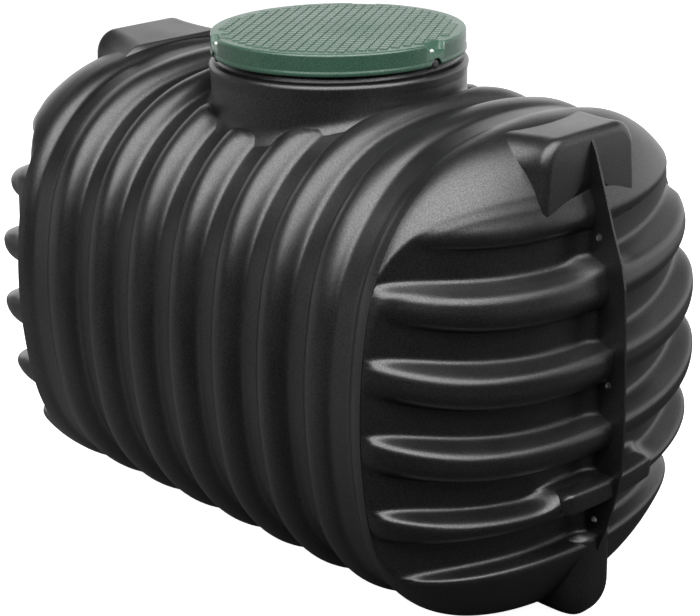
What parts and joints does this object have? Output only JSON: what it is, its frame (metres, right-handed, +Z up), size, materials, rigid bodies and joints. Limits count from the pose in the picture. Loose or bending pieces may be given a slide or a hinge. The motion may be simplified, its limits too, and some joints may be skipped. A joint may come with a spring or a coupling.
{
  "type": "cesspool tank",
  "caption": "Horizontal ribbed plastic cesspool tank with dished, rib-coursed ends, lifting lugs, a crown access neck and a lift-off round lid.",
  "frame": {"origin": "under the middle of the barrel, at the level of the feet", "axes": "+X along the barrel towards the near end, +Y across it, +Z up through the access neck"},
  "size_m": [1.939, 1.13, 1.1984],
  "materials": {
    "tank_black": "moulded black polyethylene with a satin sheen",
    "lid_green": "moulded green plastic with a tread pattern",
    "lock_screw": "plain zinc"
  },
  "bodies": {
    "tank": {"belly": "tank_black", "bilge_back": "tank_black", "bilge_front": "tank_black", "crown_far": "tank_black", "crown_near": "tank_black", "far_end_back": "tank_black", "far_end_front": "tank_black", "far_end_panel": "tank_black", "far_foot": "tank_black", "far_lug": "tank_black", "far_pad": "tank_black", "far_seam_web": "tank_black", "near_end_back": "tank_black", "near_end_front": "tank_black", "near_end_panel": "tank_black", "near_foot": "tank_black", "near_lug": "tank_black", "near_pad": "tank_black", "near_seam_web": "tank_black", "neck": "tank_black", "shoulder_back": "tank_black", "shoulder_front": "tank_black", "side_back": "tank_black", "side_front": "tank_black"},
    "lid": {"lid": "lid_green", "lid_screw_1": "lock_screw", "lid_screw_2": "lock_screw", "lid_screw_3": "lock_screw"}
  },
  "joints": [
    {"name": "lid_lift", "type": "slide", "parent": "tank", "child": "lid", "axis": [0, 0, 1], "range_m": [0, 0.35]}
  ]
}
